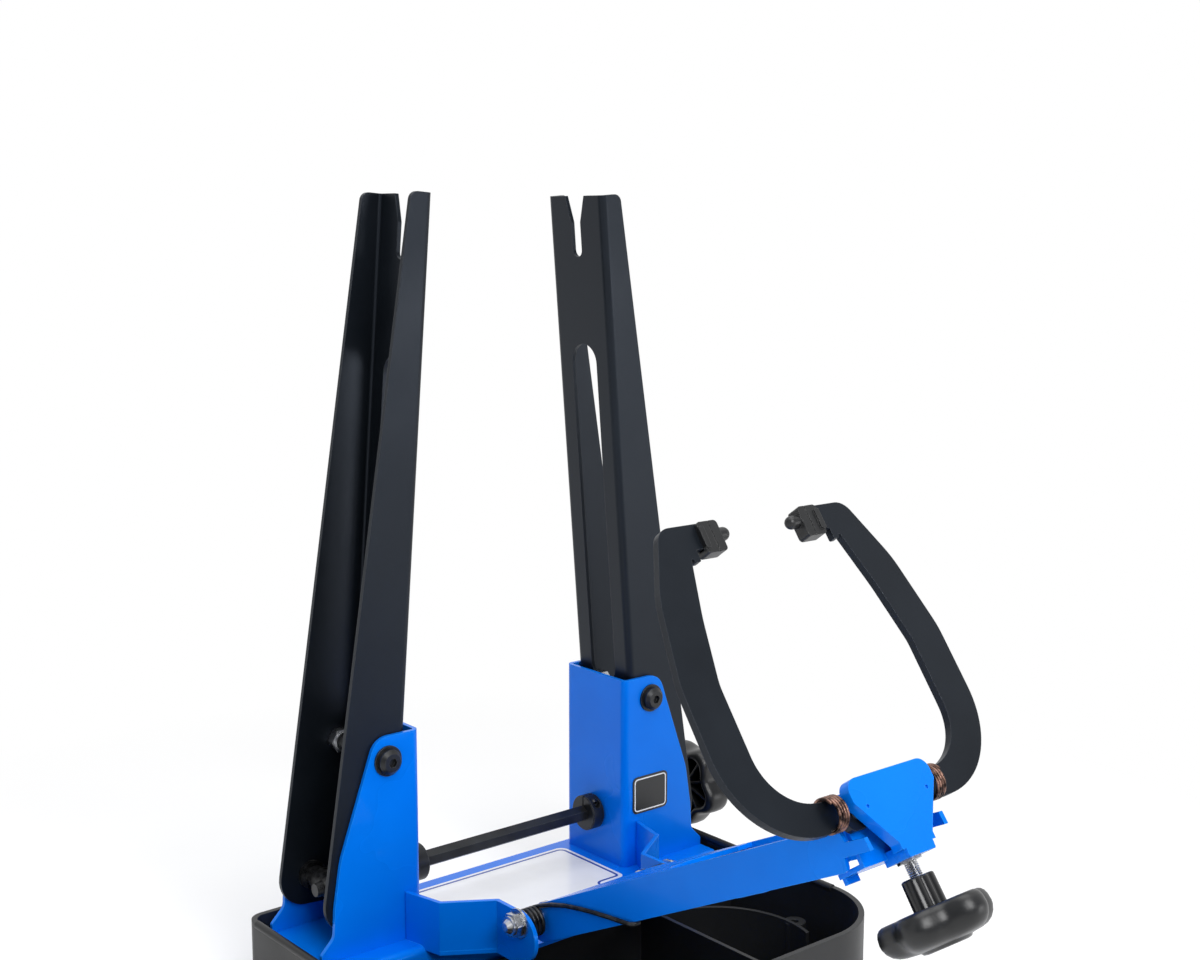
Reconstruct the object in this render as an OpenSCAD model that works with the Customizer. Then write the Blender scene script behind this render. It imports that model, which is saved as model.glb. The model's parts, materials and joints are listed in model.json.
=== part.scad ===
// Bicycle wheel truing stand: a bench stand that holds a wheel by its axle between two leaning
// uprights and feels its rim with a pair of sprung caliper fingers on a swinging arm.
// X runs along the wheel's axle, Y from the front (minus) to the back, Z up from the bench.

/* [Wheel room] */
// Gap between the uprights at the axle
hub_width = 150; // [140:1:156]
// Height of the axle above the bench
axle_height = 532; // [500:1:560]

/* [Sheet metal] */
// Thickness of the folded steel sheet
sheet = 3; // [2.5:0.1:3.4]
// Outside radius of a fold
fold_r = 5; // [4:0.5:7]

/* [Uprights] */
// Depth of an upright from front to back
upright_depth = 62.6; // [58:0.2:66]
// Height of an upright above the axle
upright_top = 39; // [32:1:46]
// Lean of an upright away from the wheel plane
lean = 4.6; // [4.2:0.1:5]
// Width of an upright's flanges at its top
flange_top = 17.5; // [15:0.5:21]
// Width of an upright's flanges at its foot
flange_foot = 58; // [54:0.5:60]
// Width of the mouth of the axle slot
slot_mouth = 22; // [16:1:28]
// Width of the axle slot
axle_slot = 10.2; // [9.6:0.1:12.4]
// Width of the long window in each upright
window_w = 28; // [18:1:32]

/* [Upright pivots] */
// Height of the upright pivots above the bench
pivot_z = 194; // [190:1:197]
// Distance of the upright pivots from the wheel plane
pivot_x = 118; // [116:0.5:120]
// Diameter of the pivot bolts
pivot_d = 10; // [8:0.5:11]

/* [Spreading screw] */
// Height of the spreading screw above the bench
rod_z = 101; // [99:0.5:104]
// Diameter of the screw's threaded ends
rod_d = 10; // [8:0.5:10.5]
// Size across the flats of the screw's hexagonal middle
rod_hex = 11; // [10.5:0.5:12]
// Distance of the trunnions from the wheel plane
trunnion_x = 142.6; // [141:0.2:144]
// Diameter of a trunnion's barrel
trunnion_d = 18; // [17:0.5:20]
// Rise and fall of the screw as the uprights swing, each way
rod_lift = 2.2; // [2:0.1:3]

/* [Steel base] */
// Height of the top of the steel floor
floor_z = 64; // [61:1:66]
// Half length of the steel floor along the axle
floor_x = 172; // [168:0.5:173]
// Rear edge of the steel floor
floor_back = 44; // [41:1:47]
// Front edge of the steel floor
floor_front = 54; // [51:1:57]
// Height of the top of the side brackets
bracket_top = 211; // [208:1:216]
// Wheel side face of a side bracket, from the wheel plane
bracket_x = 92; // [90:0.5:94]
// Height of the ears that carry the arm, above the steel floor
ear_h = 34.5; // [32:0.5:37]

/* [Caliper arm] */
// Distance of the arm pivot in front of the axle
arm_pivot_y = 113; // [109:1:117]
// Height of the arm pivot above the bench
arm_pivot_z = 91; // [89:0.5:93]
// Rise of the arm from its pivot to its front end
arm_rise = 26.2; // [22:0.2:30]
// Distance from the arm pivot to the caliper pins
arm_length = 299.6; // [280:0.2:316]
// Outside width of the arm at its pivot
arm_rear_w = 100; // [97:0.5:102]
// Outside width of the arm at its front end
arm_front_w = 67; // [65:0.5:70]
// Depth of the arm's side walls
arm_h = 25.5; // [23:0.5:29]

/* [Calipers] */
// Thickness of a caliper plate
caliper_t = 5; // [4:0.5:5.5]
// Diameter of the caliper pins
pin_d = 8; // [6:0.5:9]
// Angle between the arm and the caliper plates
caliper_tilt = 80.5; // [78:0.5:83]
// Outside radius of a caliper's bow
bow_r = 75; // [73:0.5:77]
// Length of a caliper from its pin to its finger's end
caliper_reach = 184; // [178:1:192]

/* [Knobs] */
// Overall diameter of the lobed knobs
knob_d = 70; // [64:1:74]
// Depth of the lobed knobs
knob_h = 27; // [24:1:30]
// Number of lobes on a knob
lobes = 5; // [5:1:7]

/* [Moulded base] */
// Half length of the moulded base along the axle
tray_x = 180; // [178:1:186]
// Back edge of the moulded base
tray_back = 56; // [53:1:62]
// Front edge of the moulded base
tray_front = 232; // [226:1:240]
// Height of the moulded rim above the bench
rim_z = 70; // [67:1:73]
// Wall thickness of the moulded base
tray_wall = 4; // [3:0.5:4.5]

/* [Hidden] */
$fn = 64;
fit = 0.05;
loose = 0.4;
half_depth = upright_depth / 2;
// Side brackets: their flanges stand just outside the uprights' flanges
bracket_in = half_depth + 0.7;
bracket_out = bracket_in + sheet;
bracket_web = bracket_x + sheet;
upright_low = axle_height - 77;
// Spreading screw
bush_r = rod_d / 2 + 2.2;
collar_r = 13.5;
rod_left = -156;
knob_x = max(trunnion_x + 36, tray_x + 4);
// Arm and calipers
arm_top = 8;
taper = atan((arm_rear_w - arm_front_w) / 2 / (arm_length - 6));
pin_up = 13.9;
cal_y = 10;
cal_mid = cal_y + caliper_t / 2;
back_y = cal_y + caliper_t + 2;
tail_x = 8;
tail_r = 5;
wire = 3.6;
spring_x = arm_rear_w / 2 + 2.6;
ear_x = arm_rear_w / 2 + 14;
wall_x = ear_x + 34;
// Distance between the two caliper pins
pin_gap = arm_front_w - 17;

blue = [0.02, 0.42, 0.93];
black = [0.07, 0.07, 0.08];
steel = [0.72, 0.73, 0.75];

// ---- shared shapes ----

// A folded channel in plan: web along the second axis, both flanges along the first
module channel_2d(depth, width) {
  inner_r = fold_r - sheet;
  difference() {
    union() {
      translate([fold_r, -depth / 2]) square([width - fold_r, depth]);
      translate([0, -depth / 2 + fold_r]) square([fold_r + 1, depth - 2 * fold_r]);
      for (s = [-1, 1]) translate([fold_r, s * (depth / 2 - fold_r)]) circle(fold_r);
    }
    translate([fold_r, -depth / 2 + sheet]) square([width, depth - 2 * sheet]);
    translate([sheet, -depth / 2 + fold_r]) square([fold_r, depth - 2 * fold_r]);
    for (s = [-1, 1]) translate([fold_r, s * (depth / 2 - fold_r)]) circle(inner_r);
  }
}

// A corner of an outline turned into an arc of radius r
function unit(v) = v / norm(v);
function corner(a, b, c, r) =
  r < 0.01 ? [b] :
  let (
    u = unit(a - b),
    v = unit(c - b),
    half = acos(u * v) / 2,
    mid = b + unit(u + v) * r / sin(half),
    from = b + u * r / tan(half) - mid,
    to = b + v * r / tan(half) - mid,
    start = atan2(from[1], from[0]),
    turn = atan2(from[0] * to[1] - from[1] * to[0], from * to),
    steps = max(3, ceil(abs(turn) / (r > 30 ? 4 : 11)))
  )
  [for (i = [0 : steps]) mid + r * [cos(start + turn * i / steps), sin(start + turn * i / steps)]];

// An outline from points given as [x, y, corner radius]
module outline(p) {
  n = len(p);
  flat = [for (q = p) [q[0], q[1]]];
  polygon([for (i = [0 : n - 1]) each corner(flat[(i + n - 1) % n], flat[i], flat[(i + 1) % n], p[i][2])]);
}

// A rounded rectangle about its centre
module round_rect(w, d, r) {
  outline([[-w / 2, -d / 2, r], [w / 2, -d / 2, r], [w / 2, d / 2, r], [-w / 2, d / 2, r]]);
}

// A slot with round ends, standing along the second axis
module tall_slot(w, h) {
  square([w, h - w], center = true);
  for (s = [-1, 1]) translate([0, s * (h - w) / 2]) circle(w / 2);
}

// A cylinder along X from x0 to x1
module bar_x(x0, x1, r) {
  translate([x0, 0, 0]) rotate([0, 90, 0]) cylinder(h = x1 - x0, r = r);
}

// A cylinder along Y from y0 to y1
module bar_y(y0, y1, r) {
  translate([0, y1, 0]) rotate([90, 0, 0]) cylinder(h = y1 - y0, r = r);
}

// A flat profile drawn as depth and height, given a thickness along X up to the plane x
module plate_x(x, t) {
  translate([x, 0, 0]) rotate([90, 0, -90]) linear_extrude(t) children();
}

// A flat profile drawn as width and height, given a thickness along Y from the plane y
module plate_y(y, t) {
  translate([0, y + t, 0]) rotate([90, 0, 0]) linear_extrude(t) children();
}

// A screw thread drawn as closed rings
module thread(d, h, pitch) {
  turns = floor(h / pitch);
  r = d / 2;
  cut = pitch * 0.32;
  rotate_extrude() polygon(concat([[0, 0]],
    [for (i = [0 : turns - 1]) for (k = [0 : 2])
      [k == 1 ? r : r - cut, i * pitch + k * pitch * 0.48]],
    [[r - cut, h], [0, h]]));
}

// A bolt head with a hexagonal socket and a sloped edge, standing up from the origin
module socket_head(r, h, af, edge = 1) {
  difference() {
    union() {
      cylinder(h = h - edge, r = r);
      translate([0, 0, h - edge]) cylinder(h = edge, r1 = r, r2 = r - edge);
    }
    translate([0, 0, h - 3]) cylinder(h = 4, d = af * 1.1547, $fn = 6);
  }
}

// A hexagon nut with a nylon collar, standing up from the origin
module lock_nut(d, af, h) {
  difference() {
    union() {
      intersection() {
        cylinder(h = h * 0.75, d = af * 1.1547, $fn = 6);
        cylinder(h = h, d = af * 1.12);
      }
      translate([0, 0, h * 0.75 - 0.01]) cylinder(h = h * 0.25, d = af * 0.9);
    }
    translate([0, 0, -1]) cylinder(h = h + 2, r = d / 2 + fit);
  }
}

// The arm's own frame: minus Y along the arm, Z square to it, origin on the arm pivot
module in_arm() {
  translate([0, -arm_pivot_y, arm_pivot_z]) rotate([-arm_rise, 0, 0]) children();
}

// The calipers' frame: Z up the fingers, minus Y out of the front plate, origin between the pins
module in_caliper() {
  in_arm() translate([0, -arm_length, pin_up]) rotate([caliper_tilt - 90, 0, 0]) children();
}

// ---- moulded base ----

module at_base_bolts() {
  for (s = [-1, 1]) for (y = [-28, 26]) translate([s * 70, y, 0]) children();
}

module tray_plan(e) {
  r = 60 - e;
  depth = tray_front + tray_back;
  difference() {
    translate([0, (tray_back - tray_front) / 2]) square([2 * (tray_x - e), depth - 2 * e], center = true);
    for (s = [-1, 1]) {
      translate([s * (tray_x - 30), -tray_front + 30]) square([62, 62], center = true);
      translate([s * tray_x, tray_back]) square([24, 24], center = true);
    }
  }
  for (s = [-1, 1]) {
    translate([s * (tray_x - 60), -tray_front + 60]) circle(r, $fn = 96);
    translate([s * (tray_x - 12), tray_back - 12]) circle(12 - e);
  }
}

module tray_base() {
  color(black) difference() {
    union() {
      difference() {
        linear_extrude(rim_z) tray_plan(0);
        translate([0, 0, 4]) linear_extrude(rim_z) tray_plan(tray_wall);
        // The back is cut low between the side brackets
        translate([-132, tray_back - 14, 46]) cube([264, 30, rim_z]);
        // Two shallow hand grips under the side rims
        for (s = [-1, 1]) translate([s * tray_x, -90, 30]) rotate([0, 90, 0])
          linear_extrude(3, center = true) tall_slot(14, 90);
      }
      // Rounded bead along the side and front rims
      for (s = [-1, 1]) translate([s * (tray_x - tray_wall / 2), 0, rim_z - 1.5]) {
        difference() {
          translate([0, -tray_front + 62, 0]) rotate([-90, 0, 0])
            cylinder(h = tray_front - 62 + tray_back - 14, r = tray_wall / 2 + 0.8);
          translate([-9, -tray_front, -19]) cube([18, 300, 16]);
        }
      }
      // Compartment ribs
      intersection() {
        linear_extrude(rim_z) tray_plan(1);
        union() {
          translate([-tray_x, -floor_front - 12, 0]) cube([2 * tray_x, 3, 42]);
          for (s = [-1, 1]) {
            translate([s * 84 - 1.5, -tray_front, 0]) cube([3, tray_front - floor_front - 10, 46]);
            translate([s * 84, -floor_front - 10, 0]) rotate([0, 0, s > 0 ? -58 : -122])
              translate([0, -1.25, 0]) cube([2, 2.5, 40]);
            // A curved divider beside each parts tray
            difference() {
              translate([s * 84, -150, 0]) cylinder(h = 44, r = 70, $fn = 96);
              translate([s * 84, -150, -1]) cylinder(h = 46, r = 67.4, $fn = 96);
              translate([s < 0 ? -90 : -tray_x, -250, -1]) cube([tray_x + 90, 300, 60]);
              translate([-tray_x, -250, -1]) cube([2 * tray_x, 76, 60]);
              translate([-tray_x, -floor_front - 11, -1]) cube([2 * tray_x, 76, 60]);
            }
            translate([s * 159, -151, 0]) cylinder(h = 42, r = 8);
          }
        }
      }
      // Seats for the four bolts that hold the steel base down
      at_base_bolts() cylinder(h = 12, r = 9);
    }
    at_base_bolts() {
      translate([0, 0, -1]) cylinder(h = 20, r = 3 + fit);
      translate([0, 0, -1]) cylinder(h = 5.6, r = 7);
    }
    // Recesses for the rubber feet
    at_feet() {
      translate([0, 0, -1]) cylinder(h = 3.5, r = 11 + fit);
      cylinder(h = 6, r = 2.6 + fit);
    }
    // Holes for screwing the base to a bench
    for (s = [-1, 1]) for (y = [-200, 30]) translate([s * 118, y, -1]) cylinder(h = 8, r = 3.5);
    for (s = [-1, 1]) translate([s * 159, -151, 20]) cylinder(h = 30, r = 3);
  }
}

module at_feet() {
  for (s = [-1, 1]) for (y = [-178, 30]) translate([s * 150, y, 0]) children();
}

module rubber_feet() {
  color(black) at_feet() difference() {
    union() {
      cylinder(h = 2.4, r = 11);
      translate([0, 0, 2.3]) cylinder(h = 3.2, r = 2.6);
    }
    translate([0, 0, -1]) cylinder(h = 2.2, r = 4);
  }
}

// ---- steel base ----

// A run of wall in plan between two points
module wall_run(a, b) {
  length = norm(b - a);
  translate(a) rotate(atan2(b[1] - a[1], b[0] - a[0])) translate([0, -sheet / 2]) square([length, sheet]);
  translate(a) circle(sheet / 2);
  translate(b) circle(sheet / 2);
}

module base_frame() {
  mid = (floor_back - floor_front) / 2;
  depth = floor_back + floor_front;
  ear_c = floor_z + ear_h / 2;
  color(blue) difference() {
    union() {
      // Floor with its front and rear walls turned down
      difference() {
        translate([-floor_x, mid, floor_z]) rotate([0, 90, 0]) linear_extrude(2 * floor_x)
          channel_2d(depth, floor_z - 4);
        for (s = [-1, 1]) translate([s * (floor_x + 3) - 15, -floor_front - 1, -1])
          cube([30, 8, floor_z - fold_r]);
      }
      at_base_bolts() translate([0, 0, 12.2]) cylinder(h = floor_z - sheet - 12.1, r = 7);
      // Floor tongue that carries the side walls and the ears
      translate([0, 0, floor_z - sheet]) linear_extrude(sheet) polygon([
        [-wall_x - 2, -floor_front + 6], [wall_x + 2, -floor_front + 6], [wall_x + 1.5, -67],
        [ear_x + 3, -88], [ear_x + 3, -100], [-ear_x - 3, -100], [-ear_x - 3, -88],
        [-wall_x - 1.5, -67]]);
      for (s = [-1, 1]) {
        translate([0, 0, floor_z - sheet]) linear_extrude(ear_h + sheet) {
          wall_run([s * (wall_x + 7), -bracket_out - 1.6], [s * wall_x, -66]);
          wall_run([s * wall_x, -66], [s * (ear_x + 1.5), -87]);
        }
        // Ear with a round front end
        plate_x(s * (ear_x + 1.5) + 1.5, sheet) {
          translate([86.5, floor_z - sheet]) square([arm_pivot_y - 86.5, ear_h + sheet]);
          translate([arm_pivot_y, ear_c]) circle(ear_h / 2);
          translate([86.5, floor_z - sheet]) square([13, 6]);
        }
      }
    }
    // Arm pivot holes
    translate([0, -arm_pivot_y, arm_pivot_z]) bar_x(-80, 80, 5 + fit);
    // Threaded holes for the bolts that come up through the moulded base
    at_base_bolts() translate([0, 0, 10]) cylinder(h = floor_z - sheet - 10, r = 3 + fit);
    // Slots in the rear wall for a hand tool or a cord
    for (s = [-1, 1]) translate([s * 60, floor_back - 5, 34]) rotate([-90, 0, 0])
      linear_extrude(8) rotate(90) tall_slot(12, 60);
  }
}

// Outline of a side bracket's flange, as distance from the wheel plane and height
module bracket_side() {
  outline([[bracket_x, floor_z, 0], [bracket_x, bracket_top, 0], [pivot_x + 9, bracket_top, 14],
    [155.5, 132, 60], [160.8, 100, 30], [162, 80, 8], [floor_x, 70, 3], [floor_x, floor_z, 0]]);
}

module bracket() {
  color(blue) difference() {
    intersection() {
      translate([bracket_x, 0, floor_z]) linear_extrude(bracket_top)
        channel_2d(2 * bracket_out, 90);
      translate([0, 60, 0]) rotate([90, 0, 0]) linear_extrude(120) bracket_side();
    }
    translate([pivot_x, 0, pivot_z]) bar_y(-60, 60, pivot_d / 2 + fit);
    // Upright slot that lets the screw's bush rise and fall
    translate([bracket_x - 1, 0, rod_z]) rotate([90, 0, 90]) linear_extrude(sheet + 2)
      tall_slot(2 * bush_r + 0.9, 2 * (bush_r + rod_lift) + 0.9);
  }
}

module right_bracket() { bracket(); }

module left_bracket() { mirror([1, 0, 0]) bracket(); }

module base_label() {
  back = 29;
  step = -47;
  front = -94;
  color([0.93, 0.93, 0.94]) translate([0, 0, floor_z]) linear_extrude(0.4) outline([
    [-83, back, 7], [-83, step, 5], [-61, step, 4], [-61, front, 3], [61, front, 3], [61, step, 4],
    [83, step, 5], [83, back, 7]]);
}

module badge_plate() {
  color(black) difference() {
    plate_y(-bracket_out - 0.6, 0.6) translate([118, 119]) round_rect(35, 29, 4);
    translate([0, -bracket_out - 0.7, 0]) plate_y(0, 0.25) translate([118, 119]) difference() {
      round_rect(32, 26, 3);
      round_rect(30.6, 24.6, 2.4);
    }
  }
}

module base_bolts() {
  color(steel) at_base_bolts() {
    translate([0, 0, 4.6]) rotate([180, 0, 0]) socket_head(6, 4.2, 5);
    translate([0, 0, 4.5]) cylinder(h = floor_z - sheet - 6, r = 3);
  }
}

// ---- upright pivots ----

module at_pivots() {
  for (sx = [-1, 1]) for (sy = [-1, 1]) translate([sx * pivot_x, 0, pivot_z])
    mirror([0, sy > 0 ? 1 : 0, 0]) children();
}

module pivot_bolts() {
  color(black) at_pivots() translate([0, -bracket_out - 1.5, 0]) rotate([90, 0, 0]) {
    socket_head(8.6, 5.5, 6, 2.4);
    translate([0, 0, -19.4]) cylinder(h = 19.5, r = pivot_d / 2);
    translate([0, 0, -21.4]) cylinder(h = 2.1, r1 = pivot_d / 2 - 1.4, r2 = pivot_d / 2);
  }
}

module pivot_washers() {
  color(steel) at_pivots() translate([0, -bracket_out, 0]) rotate([90, 0, 0]) difference() {
    cylinder(h = 1.5, r = 10.5);
    translate([0, 0, -1]) cylinder(h = 4, r = pivot_d / 2 + fit);
  }
}

module pivot_nuts() {
  color(steel) at_pivots() translate([0, -half_depth + sheet + loose, 0]) rotate([-90, 0, 0])
    lock_nut(pivot_d, 16, 9);
}

// ---- uprights ----

// Outline of an upright's flange: distance out from its web, and height about the axle
module upright_side() {
  low = -upright_low / cos(lean);
  outline([[0, low, 0], [0, upright_top, 0], [flange_top, upright_top, 6], [flange_foot, low, 20]]);
}

module upright() {
  color(black) difference() {
    translate([hub_width / 2, 0, axle_height]) rotate([0, -lean, 0]) difference() {
      intersection() {
        translate([0, 0, -600]) linear_extrude(700) channel_2d(upright_depth, 90);
        translate([0, 60, 0]) rotate([90, 0, 0]) linear_extrude(120) upright_side();
      }
      // Axle slot with its flared mouth
      rotate([90, 0, 90]) translate([0, 0, -1]) linear_extrude(sheet + 6) {
        circle(axle_slot / 2);
        translate([-axle_slot / 2, 0]) square([axle_slot, upright_top]);
        polygon([[-axle_slot / 2, 20], [axle_slot / 2, 20], [slot_mouth / 2, upright_top + 1],
          [-slot_mouth / 2, upright_top + 1]]);
      }
      // Long window
      rotate([90, 0, 90]) translate([0, -200, -1]) linear_extrude(sheet + 2)
        tall_slot(window_w, 262);
    }
    translate([pivot_x, 0, pivot_z]) bar_y(-60, 60, pivot_d / 2 + fit);
    translate([trunnion_x, 0, rod_z]) bar_y(-60, 60, 6 + fit);
    translate([bracket_x, 0, rod_z]) bar_x(0, 30, bush_r + 6);
  }
}

module right_upright() { upright(); }

module left_upright() { mirror([1, 0, 0]) upright(); }

module trunnion() {
  inside = half_depth - sheet;
  color(steel) translate([trunnion_x, 0, rod_z]) difference() {
    union() {
      bar_y(-half_depth, half_depth, 6);
      bar_y(-inside + 4, inside - 4, 7.4);
      bar_y(-13, 13, trunnion_d / 2);
      for (s = [-1, 1]) translate([0, s * (inside - loose - 2), 0]) bar_y(-2, 2, 10);
    }
    bar_x(-20, 20, rod_d / 2 + 0.35);
    // A slot in each end for a screwdriver
    for (s = [-1, 1]) translate([0, s * half_depth, 0]) cube([1.4, 2, 16], center = true);
  }
}

module right_trunnion() { trunnion(); }

module left_trunnion() { mirror([1, 0, 0]) trunnion(); }

// ---- spreading screw ----

module rod_bushes() {
  color(steel) for (s = [-1, 1]) translate([0, 0, rod_z]) difference() {
    union() {
      mirror([s < 0 ? 1 : 0, 0, 0]) bar_x(bracket_x - 0.4, bracket_web + 2.4, bush_r);
      mirror([s < 0 ? 1 : 0, 0, 0]) bar_x(bracket_web + loose, bracket_web + 2.4, bush_r + 5);
    }
    bar_x(-120, 120, rod_d / 2 + fit);
  }
}

module spreading_rod() {
  color(black) translate([0, 0, rod_z]) {
    translate([-70, 0, 0]) rotate([0, 90, 0]) cylinder(h = 150, d = rod_hex * 1.1547, $fn = 6);
    bar_x(-trunnion_x + 14, trunnion_x - 14, rod_d / 2 - 0.01);
    translate([-trunnion_x + 14.5, 0, 0]) rotate([0, -90, 0])
      thread(rod_d, -rod_left - trunnion_x + 14.5, 1.5);
    translate([trunnion_x - 14.5, 0, 0]) rotate([0, 90, 0]) thread(rod_d, 28, 1.5);
    bar_x(trunnion_x + 13, knob_x + knob_h - 5, rod_d / 2 - 1);
  }
}

module rod_sleeve() {
  color(black) translate([0, 0, rod_z]) difference() {
    union() {
      bar_x(-bracket_x + 1, -70.2, collar_r - 0.8);
      bar_x(-bracket_x + 2, -71.2, collar_r);
    }
    bar_x(-120, -60, rod_d / 2 + fit);
    translate([-80, 0, 0]) cylinder(h = 20, r = 2.5);
  }
}

module clamp_collar() {
  color(black) translate([0, 0, rod_z]) difference() {
    union() {
      bar_x(80.2, bracket_x - 1, collar_r - 0.8);
      bar_x(81, bracket_x - 1.8, collar_r);
    }
    bar_x(60, 120, rod_d / 2 + fit);
    translate([70, -0.7, 0]) cube([30, 1.4, 20]);
    translate([85.6, -20, 9.2]) rotate([-90, 0, 0]) cylinder(h = 40, r = 1.6 + fit);
    translate([85.6, -20, 9.2]) rotate([-90, 0, 0]) cylinder(h = 14.6, r = 3.2);
  }
}

module collar_screw() {
  color(steel) translate([85.6, -5.5, rod_z + 9.2]) rotate([90, 0, 0]) {
    socket_head(2.9, 3.4, 2.6);
    translate([0, 0, -12]) cylinder(h = 12.1, r = 1.6);
  }
}

// Lobed outline of a knob, shrunk by e
module lobed(e) {
  lobe_r = 13;
  circle(knob_d / 2 - 8 - e);
  for (i = [0 : lobes - 1]) rotate(i * 360 / lobes) translate([knob_d / 2 - lobe_r, 0])
    circle(lobe_r - e);
}

// A hollow lobed knob with its open, ribbed side at the origin and its closed face up
module knob(bore) {
  r = knob_d / 2;
  difference() {
    union() {
      intersection() {
        linear_extrude(knob_h) lobed(0);
        rotate_extrude() {
          square([r - 5, knob_h]);
          translate([0, 1]) square([r, knob_h - 9]);
          translate([r - 8, knob_h - 8]) circle(8);
          translate([0, 0]) square([r - 1, 3]);
        }
      }
      translate([0, 0, knob_h - 1]) cylinder(h = 3, r1 = 15, r2 = 13);
    }
    // Hollow underside, left open between the ribs
    translate([0, 0, -1]) difference() {
      linear_extrude(knob_h - 6) lobed(3);
      cylinder(h = knob_h, r = 11);
      for (i = [0 : 2 * lobes - 1]) rotate(i * 180 / lobes) translate([0, -1, 4])
        cube([r - 1, 2, knob_h]);
      difference() {
        translate([0, 0, 8]) cylinder(h = knob_h, r = 20.5);
        translate([0, 0, 7]) cylinder(h = knob_h + 2, r = 18.5);
      }
    }
    translate([0, 0, -2]) cylinder(h = knob_h - 2, r = bore);
  }
}

module rod_knob() {
  color(black) translate([knob_x, 0, rod_z]) rotate([0, 90, 0]) knob(rod_d / 2 - 1 + fit);
}

module knob_plug() {
  color(steel) translate([knob_x + knob_h + 2, 0, rod_z]) rotate([0, 90, 0]) {
    cylinder(h = 1.6, r = 9);
    translate([0, 0, 1.6]) cylinder(h = 1, r1 = 9, r2 = 7.5);
  }
}

// ---- arm pivot ----

module at_ears() {
  for (s = [-1, 1]) translate([0, -arm_pivot_y, arm_pivot_z]) mirror([s < 0 ? 1 : 0, 0, 0]) children();
}

module arm_bolts() {
  inside = arm_rear_w / 2 - sheet - 1.2;
  color(steel) at_ears() {
    bar_x(inside - 0.1, 76, 5);
    translate([76, 0, 0]) rotate([0, 90, 0]) cylinder(h = 3, r1 = 5, r2 = 3);
    translate([inside, 0, 0]) rotate([0, -90, 0]) socket_head(8.5, 5.5, 6);
  }
}

module arm_washers() {
  color(steel) at_ears() difference() {
    union() {
      bar_x(ear_x + sheet, ear_x + sheet + 1.5, 10);
      bar_x(spring_x + 11, ear_x, 8);
    }
    bar_x(0, 90, 5 + fit);
  }
}

module arm_nuts() {
  color(steel) at_ears() translate([ear_x + sheet + 1.5, 0, 0]) rotate([0, 90, 0])
    rotate(20) lock_nut(10, 15, 7.5);
}

// Torsion springs: closed coils round the pivot bolts, with one leg lying along the arm
module arm_springs() {
  coil = 11 - wire / 2;
  color(black) at_ears() {
    for (i = [0 : 2]) translate([spring_x + wire / 2 + i * (wire - 0.1), 0, 0]) rotate([0, 90, 0])
      rotate_extrude() translate([coil, 0]) circle(wire / 2, $fn = 24);
    rotate([-arm_rise, 0, 0]) translate([spring_x + wire / 2, 0, coil]) rotate([90, 0, 0])
      cylinder(h = 52, r = wire / 2);
    rotate([-arm_rise, 0, 0]) translate([spring_x + wire / 2, -52, coil]) sphere(wire / 2);
    translate([spring_x + wire / 2 + 2 * (wire - 0.1), 0, -coil]) rotate([-90, 0, 0])
      cylinder(h = 16, r = wire / 2);
  }
}

// ---- caliper arm ----

// Side of the arm: distance along it and height about its axis
module arm_side() {
  low = arm_top - arm_h;
  tip = arm_length;
  rear_r = arm_h / 2 - 0.1;
  outline([[-rear_r, low, rear_r], [tip - 21, low, 3], [tip - 20, -9.5, 0], [tip, -9, 0],
    [tip - 1.6, -1.5, 0], [tip - 16.4, -1.5, 1], [tip - 19, arm_top, 2], [-rear_r, arm_top, rear_r]]);
}

module arm_wall() {
  translate([arm_rear_w / 2, 0, 0]) rotate([0, 0, -taper]) plate_x(0, sheet) arm_side();
}

module caliper_arm() {
  half = arm_rear_w / 2;
  reach = 0.42 * arm_length;
  color(blue) in_arm() difference() {
    union() {
      arm_wall();
      mirror([1, 0, 0]) arm_wall();
      // The top web joins the walls over the rear part of the arm only
      translate([0, 0, arm_top - sheet]) linear_extrude(sheet) difference() {
        polygon([[-half + 2.2, -8.5], [half - 2.2, -8.5],
          [half - 1.4 - reach * tan(taper), -reach], [-half + 1.4 + reach * tan(taper), -reach]]);
        translate([0, -reach - 6]) circle(28);
      }
      // A cross tie under the front part
      translate([0, -0.66 * arm_length, arm_top - arm_h + 1])
        cube([arm_rear_w - 2 * sheet - 2 * 0.66 * arm_length * tan(taper) + 1, 26, sheet], center = true);
    }
    bar_x(-80, 80, 5 + fit);
  }
}

// Folded insert behind the front plate: back plate, bottom rail and a small bent tab
module caliper_carrier() {
  wide = arm_front_w - 2 * sheet - 1.6;
  color(blue) {
    in_caliper() difference() {
      union() {
        plate_y(back_y, sheet) translate([0, -8]) square([wide, 42], center = true);
        translate([-wide / 2, back_y, -29]) cube([wide, 22, sheet]);
        translate([-11, 3, -33]) cube([22, back_y, 7.8]);
        translate([-wide / 2 + 2, back_y + 19, -33]) cube([10, sheet, 7]);
      }
      for (s = [-1, 1]) translate([s * pin_gap / 2, 0, 0]) bar_y(0, 40, pin_d / 2 + fit);
      translate([0, cal_mid, -60]) cylinder(h = 60, r = 5.6);
      translate([0, cal_mid, -60]) cylinder(h = 33, d = 13.1 * 1.1547, $fn = 6);
      translate([-9, cal_y - 3, -25.2]) cube([18, caliper_t + 5, 20]);
    }
  }
}

// Outline of the front plate, shrunk by e
module housing_plan(e) {
  w = 34 - e;
  top = 17 - e;
  neck = 14 - 1.2 * e;
  outline([[-w, 4, 3], [-w, top, 8 - e], [w, top, 8 - e], [w, 4, 3], [neck, -24, 2],
    [neck, -28 + e, 0], [11 - e, -28 + e, 0], [11 - e, -33 + e, 1], [-11 + e, -33 + e, 1],
    [-11 + e, -28 + e, 0], [-neck, -28 + e, 0], [-neck, -24, 2]]);
}

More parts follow.
